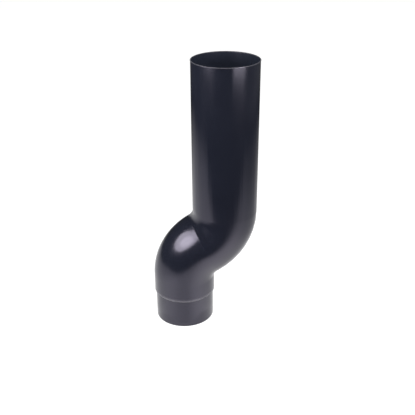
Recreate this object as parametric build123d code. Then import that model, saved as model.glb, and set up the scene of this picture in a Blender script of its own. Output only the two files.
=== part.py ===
"""Offset bend for a round downpipe: one thin-walled tube with two tangent bends,
a plain straight inlet above and a reduced spigot below."""

import os
from math import cos, radians, sin

from build123d import *

# Tube sizes in mm
wall = 0.8
inlet_r = 50.0          # outside radius of the upper pipe and the upper bend
collar_r = 48.0         # outside radius of the collar, where the lower bend starts
spigot_in = 2.0         # how far the spigot is drawn in from the collar
shoulder_r = 1.5        # rounding of the collar's lower edge
end_break = 0.15        # corners taken off the two cut ends

# Heights in mm, bend in degrees
total_h = 416.0
spigot_h = 46.0
collar_h = 27.5
lower_bend_r = 58.0     # centre-line radii
upper_bend_r = 62.0
bend_deg = 63.0

# Where the bends lie, from the sizes above
bend = radians(bend_deg)
spigot_r = collar_r - spigot_in
lower_bend_z = spigot_h + collar_h
offset_x = (lower_bend_r + upper_bend_r) * (1 - cos(bend))
upper_pipe_z = lower_bend_z + (lower_bend_r + upper_bend_r) * sin(bend)


def lower_point(a):
    """Centre-line point of the lower bend after turning by a."""
    return Vector(lower_bend_r * (1 - cos(a)), 0, lower_bend_z + lower_bend_r * sin(a))


def upper_point(a):
    """Centre-line point of the upper bend where it still leans by a."""
    return Vector(offset_x - upper_bend_r * (1 - cos(a)), 0, upper_pipe_z - upper_bend_r * sin(a))


# The section where one bend passes into the other
crossover = Plane(origin=lower_point(bend), x_dir=(cos(bend), 0, -sin(bend)), z_dir=(sin(bend), 0, cos(bend)))


def foot(inset, soften):
    """Spigot, step and collar as one turned solid, with its surface moved inwards by inset.
    soften rounds or bevels the collar's lower edge."""
    low, high = spigot_r - inset, collar_r - inset
    step_z = spigot_h + inset
    with BuildSketch(Plane.XZ) as profile:
        with BuildLine():
            Polyline((0, lower_bend_z), (0, 0), (low, 0), (low, step_z))
            Polyline((low, step_z), (high, step_z), (high, lower_bend_z), (0, lower_bend_z))
        make_face()
    turned = revolve(profile.sketch, Axis.Z)
    shoulder = turned.edges().filter_by(GeomType.CIRCLE).group_by(Axis.Z)[1].sort_by(SortBy.LENGTH)[-1]
    return soften(shoulder, shoulder_r - inset)


def lower_bend(inset):
    """The lower bend, which widens evenly from the collar to the upper pipe's size."""
    path = ThreePointArc(lower_point(0), lower_point(bend / 2), lower_point(bend))
    start = Plane.XY.offset(lower_bend_z) * Circle(collar_r - inset)
    return sweep([start, crossover * Circle(inlet_r - inset)], path=path, multisection=True)


def upper_bend(inset):
    """The upper bend, with the seam of its surface on the inside of the bend."""
    path = ThreePointArc(upper_point(bend), upper_point(bend / 2), upper_point(0))
    start = Plane(crossover.origin, x_dir=-crossover.x_dir, z_dir=crossover.z_dir)
    return sweep(start * Circle(inlet_r - inset), path=path)


def upper_pipe(inset):
    height = total_h - upper_pipe_z
    at = Pos(offset_x, 0, upper_pipe_z)
    return at * Cylinder(inlet_r - inset, height, align=(Align.CENTER, Align.CENTER, Align.MIN))


def body(inset, soften):
    return foot(inset, soften) + lower_bend(inset) + upper_bend(inset) + upper_pipe(inset)


tube = body(0, fillet) - body(wall, chamfer)

end_edges = tube.edges().filter_by(GeomType.CIRCLE)
end_edges = end_edges.filter_by(lambda e: min(abs(e.center().Z), abs(e.center().Z - total_h)) < wall / 10)
offset_pipe = chamfer(end_edges, end_break)

os.makedirs("parts", exist_ok=True)
export_step(offset_pipe, "parts/offset_pipe.step")
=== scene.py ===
"""Looks of the downpipe offset: satin anthracite coating on a white studio table."""

from math import copysign, cos, pi, radians, sin

import bmesh
import bpy
from mathutils import Matrix, Quaternion, Vector


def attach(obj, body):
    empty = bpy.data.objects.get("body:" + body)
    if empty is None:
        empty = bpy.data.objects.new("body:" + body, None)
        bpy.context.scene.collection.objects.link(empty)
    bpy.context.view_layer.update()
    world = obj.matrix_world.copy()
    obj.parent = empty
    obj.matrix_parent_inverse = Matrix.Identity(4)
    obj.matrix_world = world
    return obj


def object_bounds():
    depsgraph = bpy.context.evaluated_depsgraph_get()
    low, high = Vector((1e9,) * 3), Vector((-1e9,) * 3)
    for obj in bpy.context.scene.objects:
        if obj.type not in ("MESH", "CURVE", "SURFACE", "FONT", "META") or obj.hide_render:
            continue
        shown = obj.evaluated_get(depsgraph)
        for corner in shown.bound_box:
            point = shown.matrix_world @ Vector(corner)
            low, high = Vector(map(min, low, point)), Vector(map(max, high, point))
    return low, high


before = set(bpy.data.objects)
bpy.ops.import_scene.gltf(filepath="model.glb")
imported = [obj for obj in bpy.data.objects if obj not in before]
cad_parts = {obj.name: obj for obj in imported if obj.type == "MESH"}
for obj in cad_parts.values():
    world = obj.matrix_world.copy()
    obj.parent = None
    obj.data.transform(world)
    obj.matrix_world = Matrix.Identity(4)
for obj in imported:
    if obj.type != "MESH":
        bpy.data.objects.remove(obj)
cad_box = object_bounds()

# Lengths are in metres, angles in degrees, colours linear

# Camera at the photograph's viewing angle
PHOTO_PX = 415
FOCAL_PX = 674.12
SENSOR_MM = 36
CAMERA_AZIMUTH = -10.0
CAMERA_PITCH = 26.066
CAMERA_ROLL = -0.35
CAMERA_DISTANCE = 1.03392
CAMERA_RIGHT = 0.03791
CAMERA_UP = -0.00978
CAMERA_CLIP_START = 0.01
AIM_HEIGHT = 0.2

# Painted pool of light that reflections see on the table, from its middle outwards: how far each
# ring reaches to the left, right, front and back of the object's middle, and its level
LIGHT_POOL = (
    (-0.09, 0.03, -0.06, 0.06, 1.0),
    (-0.18, 0.15, -0.20, 0.16, 1.0),
    (-0.32, 0.26, -0.26, 0.28, 0.90),
    (-0.52, 0.38, -0.28, 0.42, 0.70),
    (-0.68, 0.48, -0.30, 0.54, 0.48),
    (-0.80, 0.62, -0.31, 0.68, 0.27),
    (-1.00, 0.95, -0.36, 1.00, 0.0),
)
POOL_SQUARENESS = 5.0

# The pool's inner rings are lighter to the right front and left front of the spigot, which
# stands this far right of the object's middle
NEAR_RINGS = 2
SPIGOT_RIGHT = -0.033
NEAR_LEVEL = 1.05
NEAR_RIGHT_FRONT = 0.62
NEAR_LEFT_FRONT = 0.33
NEAR_FALLOFF = 1.5

# The outer rings' right side is lighter in front of this line and darker behind it
RIGHT_SIDE_START = 0.15
RIGHT_SIDE_AWAY = -0.07
RIGHT_SIDE_FADE = 0.1
RIGHT_SIDE_TILT = 0.22

# Dark room round the pool: its floor's reach, its dome, and the glow of its walls
ROOM_REACH = 1.3
ROOM_RADIUS = 4.5
ROOM_LIFT = 0.0005
WALL_RINGS = 8
WALL_GLOW = 0.04
RIGHT_WALL_GLOW = 0.10
CLOTH_COLOUR = (0.01, 0.01, 0.012)

# White table and surroundings
ROUND_STEPS = 96
TABLE_RADIUS = 40.0
TABLE_DIFFUSE = 0.2
TABLE_GLOW = 0.94
WORLD_GLOW = 1.0
WORLD_FILL = 0.3

# Lamps: name, place and aim as studio_point takes them, width, height, power, shape and roll
PATCH_AIM = (-0.03, -0.037, 0.149)
LAMPS = (
    ("left", (-0.500, -0.310, 0.530), PATCH_AIM, 0.80, 0.50, 5.6, "ELLIPSE", -9),
    ("left_core", (-0.435, -0.345, 0.490), PATCH_AIM, 0.37, 0.24, 0.6, "ELLIPSE", -8),
    ("right", (0.65, -0.62, 0.43), (0.05, 0, 0.35), 0.68, 0.34, 2.8, "RECTANGLE", 0),
    ("top", (0.75, -0.3, 1.4), (0, 0, 0.3), 0.5, 0.5, 16, "RECTANGLE", 0),
    ("back", (0, 1.4, 1.05), (0, 0, 0.4), 0.5, 0.4, 1, "RECTANGLE", 0),
)

# Coating: two shades mixed by a faint mottle, and the tint of its reflections
COAT_DARK = (0.0090, 0.0106, 0.0180)
COAT_LIGHT = (0.0118, 0.0136, 0.0222)
MOTTLE_SCALE = 22.0
MOTTLE_ROUGHNESS = 0.6
MOTTLE_RANGE = (0.3, 0.72)
COAT_IOR = 1.65
REFLECTION_TINT = (0.88, 0.82, 1.0)

# Soft lengthwise streaks in its roughness
STREAKS_SCALE = (60.0, 60.0, 5.0)
STREAKS_RANGE = (0.3, 0.7)
COAT_ROUGHNESS = (0.15, 0.20)

# Orange peel
PEEL_SCALE = 260.0
PEEL_STRENGTH = 0.3
PEEL_DEPTH = 0.00003

# The inside of the upper pipe is lighter, above these heights
COAT_INSIDE = (0.0190, 0.0225, 0.0340)
INSIDE_START = (0.20, 0.25)

# Painted highlight on edges, in a light colour with more roughness: the collar's lower edge,
# as the heights where it starts, is full and ends, and the rim
PAINTED_EDGE_HIGHLIGHT = (0.130, 0.127, 0.142)
EDGE_HIGHLIGHT_ROUGHNESS = 0.42
COLLAR_EDGE = (0.0450, 0.0478, 0.0518)
COLLAR_EDGE_SOFT = 0.0004
RIM_EDGE = (0.4146, 0.4150)
RIM_HIGHLIGHT = 0.40
HIGHLIGHT_PATCH_SCALE = 90.0
HIGHLIGHT_PATCH_RANGE = (0.3, 0.6)
HIGHLIGHT_PATCH_LEVEL = (0.7, 1.0)

# Crease inside the upper bend: the middle of the section where the bends meet, its two
# directions, where the crease starts and fades along and across it, and how strong it is
CREASE_AT = (0.0317, 0.0, 0.1252)
CREASE_ALONG = (0.891, 0.0, 0.454)
CREASE_ACROSS = (-0.454, 0.0, 0.891)
CREASE_START = (-0.0002, 0.0004)
CREASE_FADE = (0.005, 0.018)
CREASE_INNER = (0.000, 0.034)
CREASE_TURN = 0.50

# Faint lengthwise drawing marks on the upper pipe, both in and out, and where they begin
MARKS_SCALE = (110.0, 110.0, 5.0)
MARKS_LEVEL = (-0.5, 0.5)
MARKS_DEPTH = 0.0005
MARKS_START = (0.165, 0.190)

# The mouth is drawn in a little over its last stretch: start height, and slope at the rim
LIP_START = 0.290
LIP_SLOPE = 0.049
RIM_HEIGHT = cad_box[1][2]

# The upper pipe's axis, and the rounded bead round the cut rim
MOUTH_X = 0.0655211
BEAD_RADIUS = 0.0500
BEAD_HEIGHT = 0.4154
BEAD_SIZE = 0.00045
BEAD_STEPS = 144
BEAD_SIDES = 14


def camera_axes():
    """Back, right and up directions of the camera, without its roll."""
    az, pitch = radians(CAMERA_AZIMUTH), radians(CAMERA_PITCH)
    back = Vector((sin(az) * cos(pitch), -cos(az) * cos(pitch), sin(pitch)))
    right = Vector((cos(az), sin(az), 0))
    return back, right, back.cross(right)


def add_camera():
    back, right, up = camera_axes()
    roll = radians(CAMERA_ROLL)
    rolled_right = right * cos(roll) + up * sin(roll)
    rolled_up = up * cos(roll) - right * sin(roll)
    data = bpy.data.cameras.new("camera")
    data.sensor_width = SENSOR_MM
    data.lens = data.sensor_width * FOCAL_PX / PHOTO_PX
    data.clip_start = CAMERA_CLIP_START
    camera = bpy.data.objects.new("camera", data)
    aim = Vector((0, 0, AIM_HEIGHT))
    place = aim + back * CAMERA_DISTANCE + right * CAMERA_RIGHT + up * CAMERA_UP
    turn = Matrix((rolled_right, rolled_up, back)).transposed().to_4x4()
    camera.matrix_world = Matrix.Translation(place) @ turn
    bpy.context.scene.collection.objects.link(camera)
    bpy.context.scene.camera = camera


def studio_point(right, away, up):
    """A point right of, behind and above the middle of the object, as the camera sees it."""
    _, across, _ = camera_axes()
    behind = Vector((-across.y, across.x, 0))
    middle = Vector((cad_box[0][0] + cad_box[1][0], 0, 0)) / 2
    return middle + across * right + behind * away + Vector((0, 0, up))


class Nodes:
    """A node tree, with short ways to add nodes. Values are plain or another node's output."""

    def __init__(self, tree):
        self.tree = tree

    def add(self, kind, **values):
        """A new node, with values set on its inputs or else on the node itself."""
        node = self.tree.nodes.new(kind)
        for name, value in values.items():
            if name in node.inputs:
                node.inputs[name].default_value = value
            else:
                setattr(node, name, value)
        return node

    def put(self, value, socket):
        if isinstance(value, bpy.types.NodeSocket):
            self.tree.links.new(value, socket)
        else:
            socket.default_value = value

    def maths(self, operation, first, second):
        node = self.add("ShaderNodeMath", operation=operation)
        self.put(first, node.inputs[0])
        self.put(second, node.inputs[1])
        return node.outputs[0]

    def vectors(self, operation, first, second):
        node = self.add("ShaderNodeVectorMath", operation=operation)
        self.put(first, node.inputs[0])
        self.put(second, node.inputs[1])
        return node.outputs["Value" if operation == "DOT_PRODUCT" else "Vector"]

    def spread(self, value, low, high, to=(0.0, 1.0), curve="LINEAR"):
        """value taken from low and high to the two values of to, and held beyond them."""
        node = self.add("ShaderNodeMapRange", interpolation_type=curve)
        for name, number in zip(("From Min", "From Max", "To Min", "To Max"), (low, high, *to)):
            node.inputs[name].default_value = number
        self.put(value, node.inputs["Value"])
        return node.outputs["Result"]

    def smooth_step(self, value, low, high):
        return self.spread(value, low, high, curve="SMOOTHSTEP")

    def noise(self, at, **values):
        node = self.add("ShaderNodeTexNoise", **values)
        self.put(at, node.inputs["Vector"])
        return node.outputs["Fac"]

    def lengthwise_noise(self, at, scale, detail):
        """Noise drawn out along the pipe."""
        stretched = self.add("ShaderNodeMapping", Scale=scale)
        self.put(at, stretched.inputs["Vector"])
        return self.noise(stretched.outputs["Vector"], Scale=1.0, Detail=detail)

    def bump(self, height, normal, depth, strength=1.0):
        node = self.add("ShaderNodeBump", Strength=strength, Distance=depth)
        self.put(height, node.inputs["Height"])
        self.put(normal, node.inputs["Normal"])
        return node.outputs["Normal"]

    def mix(self, kind, amount, first, second):
        """first where amount is 0 and second where it is 1."""
        node = self.add("ShaderNodeMix", data_type=kind)
        low, high, out = {"FLOAT": (2, 3, 0), "RGBA": (6, 7, 2)}[kind]
        self.put(amount, node.inputs[0])
        self.put(first, node.inputs[low])
        self.put(second, node.inputs[high])
        return node.outputs[out]


def painted_edge_highlights(n, at, height):
    """1 on the collar's lower edge and less on the rim, unevenly: where a highlight is painted."""
    start, full, end = COLLAR_EDGE
    above = n.smooth_step(height, start - COLLAR_EDGE_SOFT, start + COLLAR_EDGE_SOFT)
    below = n.smooth_step(height, end, full)
    rim = n.maths("MULTIPLY", n.smooth_step(height, *RIM_EDGE), RIM_HIGHLIGHT)
    both = n.maths("MAXIMUM", n.maths("MULTIPLY", above, below), rim)
    patchiness = n.noise(at, Scale=HIGHLIGHT_PATCH_SCALE, Detail=3.0)
    return n.maths("MULTIPLY", both, n.spread(patchiness, *HIGHLIGHT_PATCH_RANGE, HIGHLIGHT_PATCH_LEVEL))


def inner_wall(n, at, normal, height):
    """1 where the surface faces the upper pipe's axis, and 0 outside."""
    off = n.vectors("SUBTRACT", at, (MOUTH_X, 0, 0))
    outward = n.vectors("MULTIPLY", off, (1, 1, 0))
    inside = n.maths("LESS_THAN", n.vectors("DOT_PRODUCT", outward, normal), 0.0)
    return n.maths("MULTIPLY", inside, n.smooth_step(height, *INSIDE_START))


def drawn_in_lip(n, height):
    """0 below the lip and -1 at the rim, along a parabola, so that its slope grows evenly."""
    along = n.spread(height, LIP_START, RIM_HEIGHT)
    return n.maths("MULTIPLY", n.maths("MULTIPLY", along, along), -1.0)


def drawing_marks(n, at, height):
    """Height of the marks that the drawing of the pipe left along it."""
    marks = n.lengthwise_noise(at, MARKS_SCALE, 2.0)
    level = n.spread(marks, 0.0, 1.0, MARKS_LEVEL)
    return n.maths("MULTIPLY", level, n.smooth_step(height, *MARKS_START))


def creased_normal(n, at, normal):
    """The normal, turned back along the tube just past the section where the bends meet."""
    off = n.vectors("SUBTRACT", at, CREASE_AT)
    along = n.vectors("DOT_PRODUCT", off, CREASE_ALONG)
    across = n.vectors("DOT_PRODUCT", off, CREASE_ACROSS)
    start = n.smooth_step(along, *CREASE_START)
    fade = n.smooth_step(along, *reversed(CREASE_FADE))
    inner = n.smooth_step(across, *CREASE_INNER)
    turn = n.add("ShaderNodeVectorMath", operation="SCALE")
    turn.inputs[0].default_value = [-CREASE_TURN * c for c in CREASE_ALONG]
    n.put(n.maths("MULTIPLY", n.maths("MULTIPLY", start, fade), inner), turn.inputs["Scale"])
    unit = n.add("ShaderNodeVectorMath", operation="NORMALIZE")
    n.put(n.vectors("ADD", normal, turn.outputs["Vector"]), unit.inputs[0])
    return unit.outputs["Vector"]


def new_material(name):
    material = bpy.data.materials.new(name)
    material.use_nodes = True
    return material, material.node_tree.nodes["Principled BSDF"], Nodes(material.node_tree)


def coating():
    """Satin stove enamel: near-black blue, with faint mottle, orange peel and painted edge
    highlights.
    """
    material, shader, n = new_material("satin_coating")
    place = n.add("ShaderNodeTexCoord")
    at, normal = place.outputs["Object"], place.outputs["Normal"]
    parts = n.add("ShaderNodeSeparateXYZ")
    n.put(at, parts.inputs[0])
    height = parts.outputs["Z"]
    edge_highlight = painted_edge_highlights(n, at, height)

    tint = n.add("ShaderNodeValToRGB")
    stops = zip(tint.color_ramp.elements, MOTTLE_RANGE, (COAT_DARK, COAT_LIGHT))
    for stop, position, shade in stops:
        stop.position = position
        stop.color = (*shade, 1)
    mottle = n.noise(at, Scale=MOTTLE_SCALE, Detail=4.0, Roughness=MOTTLE_ROUGHNESS)
    n.put(mottle, tint.inputs["Fac"])
    inside = inner_wall(n, at, normal, height)
    colour = n.mix("RGBA", inside, tint.outputs["Color"], (*COAT_INSIDE, 1))
    # Painted highlight on the collar's lower edge and the rim, patchy
    colour = n.mix("RGBA", edge_highlight, colour, (*PAINTED_EDGE_HIGHLIGHT, 1))
    n.put(colour, shader.inputs["Base Color"])

    streaks = n.lengthwise_noise(at, STREAKS_SCALE, 3.0)
    gloss = n.spread(streaks, *STREAKS_RANGE, COAT_ROUGHNESS)
    n.put(n.mix("FLOAT", edge_highlight, gloss, EDGE_HIGHLIGHT_ROUGHNESS), shader.inputs["Roughness"])

    peel = n.noise(at, Scale=PEEL_SCALE, Detail=1.0)
    bent = n.bump(peel, creased_normal(n, at, normal), PEEL_DEPTH, PEEL_STRENGTH)
    bent = n.bump(drawing_marks(n, at, height), bent, MARKS_DEPTH)
    lip_depth = LIP_SLOPE * (RIM_HEIGHT - LIP_START) / 2
    n.put(n.bump(drawn_in_lip(n, height), bent, lip_depth), shader.inputs["Normal"])

    shader.inputs["IOR"].default_value = COAT_IOR
    shader.inputs["Specular Tint"].default_value = (*REFLECTION_TINT, 1)
    return material


def seen(n, strength):
    """strength for camera, glossy and transmission rays, and nothing for the rest."""
    path = n.add("ShaderNodeLightPath")
    shown = n.maths("MAXIMUM", path.outputs["Is Camera Ray"], path.outputs["Is Glossy Ray"])
    shown = n.maths("MAXIMUM", shown, path.outputs["Is Transmission Ray"])
    return n.maths("MULTIPLY", shown, strength)


def shining(name, colour, glow):
    """A matt material that shines in white, as strongly as the value that glow adds to it."""
    material, shader, n = new_material(name)
    shader.inputs["Base Color"].default_value = (*colour, 1)
    shader.inputs["Roughness"].default_value = 1.0
    shader.inputs["Specular IOR Level"].default_value = 0.0
    shader.inputs["Emission Color"].default_value = (1, 1, 1, 1)
    n.put(glow(n), shader.inputs["Emission Strength"])
    return material


def table_glow(n):
    """A glow that is seen, also in reflections, but lights nothing."""
    return seen(n, TABLE_GLOW)


def pool_glow(n):
    """The light that each corner of the dark room carries."""
    return n.add("ShaderNodeAttribute", attribute_name="glow").outputs["Fac"]


def new_object(name, mesh_maker, material):
    mesh = bpy.data.meshes.new(name)
    bm = bmesh.new()
    mesh_maker(bm)
    bm.to_mesh(mesh)
    bm.free()
    mesh.materials.append(material)
    obj = bpy.data.objects.new(name, mesh)
    bpy.context.scene.collection.objects.link(obj)
    return obj


def add_rim_bead(material):
    """The rounded lip that catches the light round the mouth."""
    def ring(bm):
        loops = []
        for i in range(BEAD_STEPS):
            a = 2 * pi * i / BEAD_STEPS
            loop = []
            for k in range(BEAD_SIDES):
                b = 2 * pi * k / BEAD_SIDES
                radius, height = BEAD_RADIUS + BEAD_SIZE * cos(b), BEAD_HEIGHT + BEAD_SIZE * sin(b)
                loop.append(bm.verts.new((MOUTH_X + radius * cos(a), radius * sin(a), height)))
            loops.append(loop)
        for i in range(BEAD_STEPS):
            this, after = loops[i], loops[(i + 1) % BEAD_STEPS]
            for k in range(BEAD_SIDES):
                j = (k + 1) % BEAD_SIDES
                bm.faces.new((this[k], after[k], after[j], this[j]))
        bmesh.ops.recalc_face_normals(bm, faces=bm.faces)
        for face in bm.faces:
            face.smooth = True

    bead = new_object("rim_bead", ring, material)
    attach(bead, "root")


def add_table():
    def disc(bm):
        bmesh.ops.create_circle(bm, cap_ends=True, segments=ROUND_STEPS, radius=TABLE_RADIUS)

    new_object("floor", disc, shining("white_table", (TABLE_DIFFUSE,) * 3, table_glow))


def add_dark_studio():
    """The dark room round the pool of light, which only reflections show."""
    angles = [2 * pi * i / ROUND_STEPS for i in range(ROUND_STEPS)]
    wall_levels = [WALL_GLOW + RIGHT_WALL_GLOW * max(0.0, cos(a)) for a in angles]

    def squared_ring(left, right, front, back):
        """A ring between an ellipse and a rectangle, with this reach."""
        ring = []
        for a in angles:
            across, along = (copysign(abs(f) ** (2 / POOL_SQUARENESS), f) for f in (cos(a), sin(a)))
            ring.append((
                (left + right + (right - left) * across) / 2,
                (front + back + (back - front) * along) / 2,
            ))
        return ring

    def near_part(right, away):
        toward = Vector((right - SPIGOT_RIGHT, away)).normalized()
        corner = max(0.0, -2 * toward.y * abs(toward.x)) ** NEAR_FALLOFF
        return NEAR_LEVEL + corner * (NEAR_RIGHT_FRONT if toward.x > 0 else NEAR_LEFT_FRONT)

    def far_part(right, away):
        on_right = min(1.0, max(0.0, (right - RIGHT_SIDE_START) / RIGHT_SIDE_FADE))
        behind = min(1.0, max(-1.0, (away - RIGHT_SIDE_AWAY) / RIGHT_SIDE_FADE))
        return 1 - RIGHT_SIDE_TILT * on_right * behind

    def on_table(ring):
        return [studio_point(*place, ROOM_LIFT) for place in ring]

    def wall_ring(tilt):
        radius, height = ROOM_RADIUS * cos(tilt), ROOM_RADIUS * sin(tilt)
        return [studio_point(radius * cos(a), radius * sin(a), ROOM_LIFT + height) for a in angles]

    def rings():
        """The rings that make up the room, from the pool's middle to its top, with their levels."""
        for i, (*reach, level) in enumerate(LIGHT_POOL):
            ring = squared_ring(*reach)
            part = near_part if i < NEAR_RINGS else far_part
            yield on_table(ring), [level * part(*place) for place in ring]
        edge = squared_ring(-ROOM_REACH, ROOM_REACH, -ROOM_REACH, ROOM_REACH)
        yield on_table(edge), wall_levels
        for i in range(WALL_RINGS):
            yield wall_ring(i * pi / (2 * WALL_RINGS)), wall_levels

    def room(bm):
        glow = bm.verts.layers.float.new("glow")
        loops = []
        for ring, levels in rings():
            loops.append([bm.verts.new(place) for place in ring])
            for vert, level in zip(loops[-1], levels):
                vert[glow] = level
        for low, high in zip(loops, loops[1:]):
            for i in range(ROUND_STEPS):
                j = (i + 1) % ROUND_STEPS
                bm.faces.new((low[i], low[j], high[j], high[i]))
        bm.faces.new(loops[-1])

    # Black cloth with painted glow: the pool of light and the walls' glow, seen only in reflections
    surround = new_object("dark_studio", room, shining("black_cloth_painted_glow", CLOTH_COLOUR, pool_glow))
    surround.visible_camera = False
    surround.visible_diffuse = False
    surround.visible_shadow = False
    surround.visible_transmission = False


def add_world():
    world = bpy.data.worlds.new("studio")
    bpy.context.scene.world = world
    world.use_nodes = True
    background = world.node_tree.nodes["Background"]
    background.inputs["Color"].default_value = (1, 1, 1, 1)
    n = Nodes(world.node_tree)
    level = n.maths("MAXIMUM", seen(n, WORLD_GLOW), WORLD_FILL)
    n.put(level, background.inputs["Strength"])


def add_softbox(name, place, aim, width, height, power, shape, roll):
    """A flat soft lamp at place that is turned to aim and then rolled."""
    data = bpy.data.lights.new(name, "AREA")
    data.shape = shape
    data.size = width
    data.size_y = height
    data.energy = power
    lamp = bpy.data.objects.new(name, data)
    start, end = studio_point(*place), studio_point(*aim)
    lamp.location = start
    turn = (end - start).to_track_quat("-Z", "Y") @ Quaternion((0, 0, 1), radians(roll))
    lamp.rotation_euler = turn.to_euler()
    bpy.context.scene.collection.objects.link(lamp)


coat = coating()
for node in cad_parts.values():
    node.data.materials.clear()
    node.data.materials.append(coat)
add_rim_bead(coat)

add_camera()
add_world()
add_table()
add_dark_studio()
for lamp in LAMPS:
    add_softbox(*lamp)

bpy.context.scene.view_settings.view_transform = "Standard"
